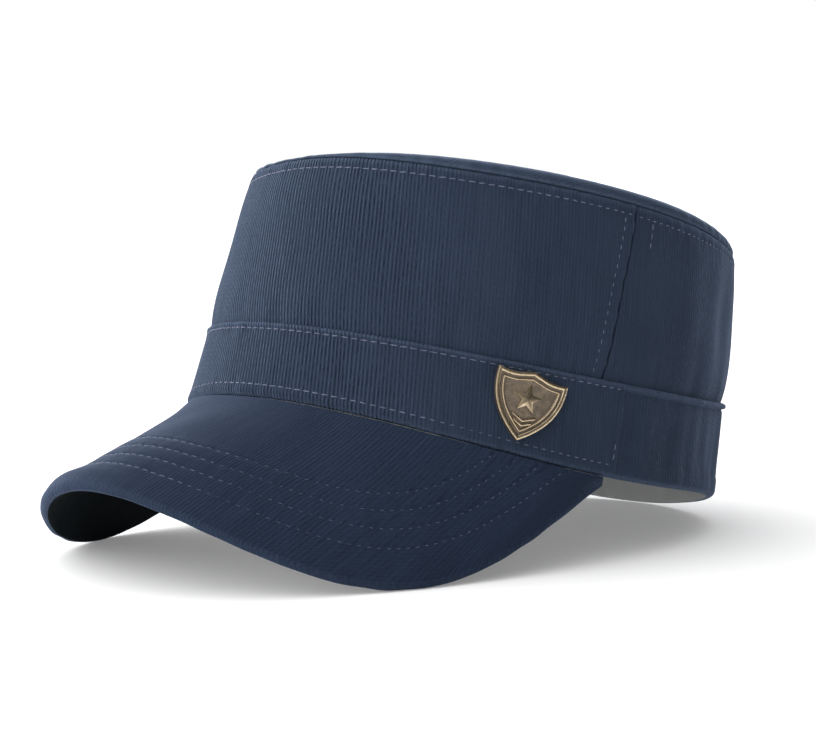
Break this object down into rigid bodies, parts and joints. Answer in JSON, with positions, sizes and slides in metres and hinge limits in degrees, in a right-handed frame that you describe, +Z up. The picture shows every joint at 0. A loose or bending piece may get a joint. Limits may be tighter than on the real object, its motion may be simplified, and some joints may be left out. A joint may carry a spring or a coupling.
{
  "type": "cadet cap",
  "caption": "Flat-topped cloth cadet cap with a tapered crown, a band, an arched stitched visor and a brass shield badge.",
  "frame": {"origin": "middle of the cap's box, on the surface that the cap rests on", "axes": "+Z up, -Y towards the front of the visor, +X towards the wearer's left"},
  "size_m": [0.1606, 0.2678, 0.1263],
  "materials": {
    "navy_twill": "fine ribbed cotton twill",
    "dark_lining": "plain dark cotton",
    "antique_brass": "cast and darkened in its hollows",
    "pin_steel": "plain"
  },
  "bodies": {
    "root": {"top_panel": "navy_twill", "crown_front": "navy_twill", "crown_back": "navy_twill", "band_front": "navy_twill", "band_back": "navy_twill", "visor_top": "navy_twill", "visor_underside": "dark_lining", "badge": "antique_brass", "badge_pin": "pin_steel"}
  },
  "joints": []
}
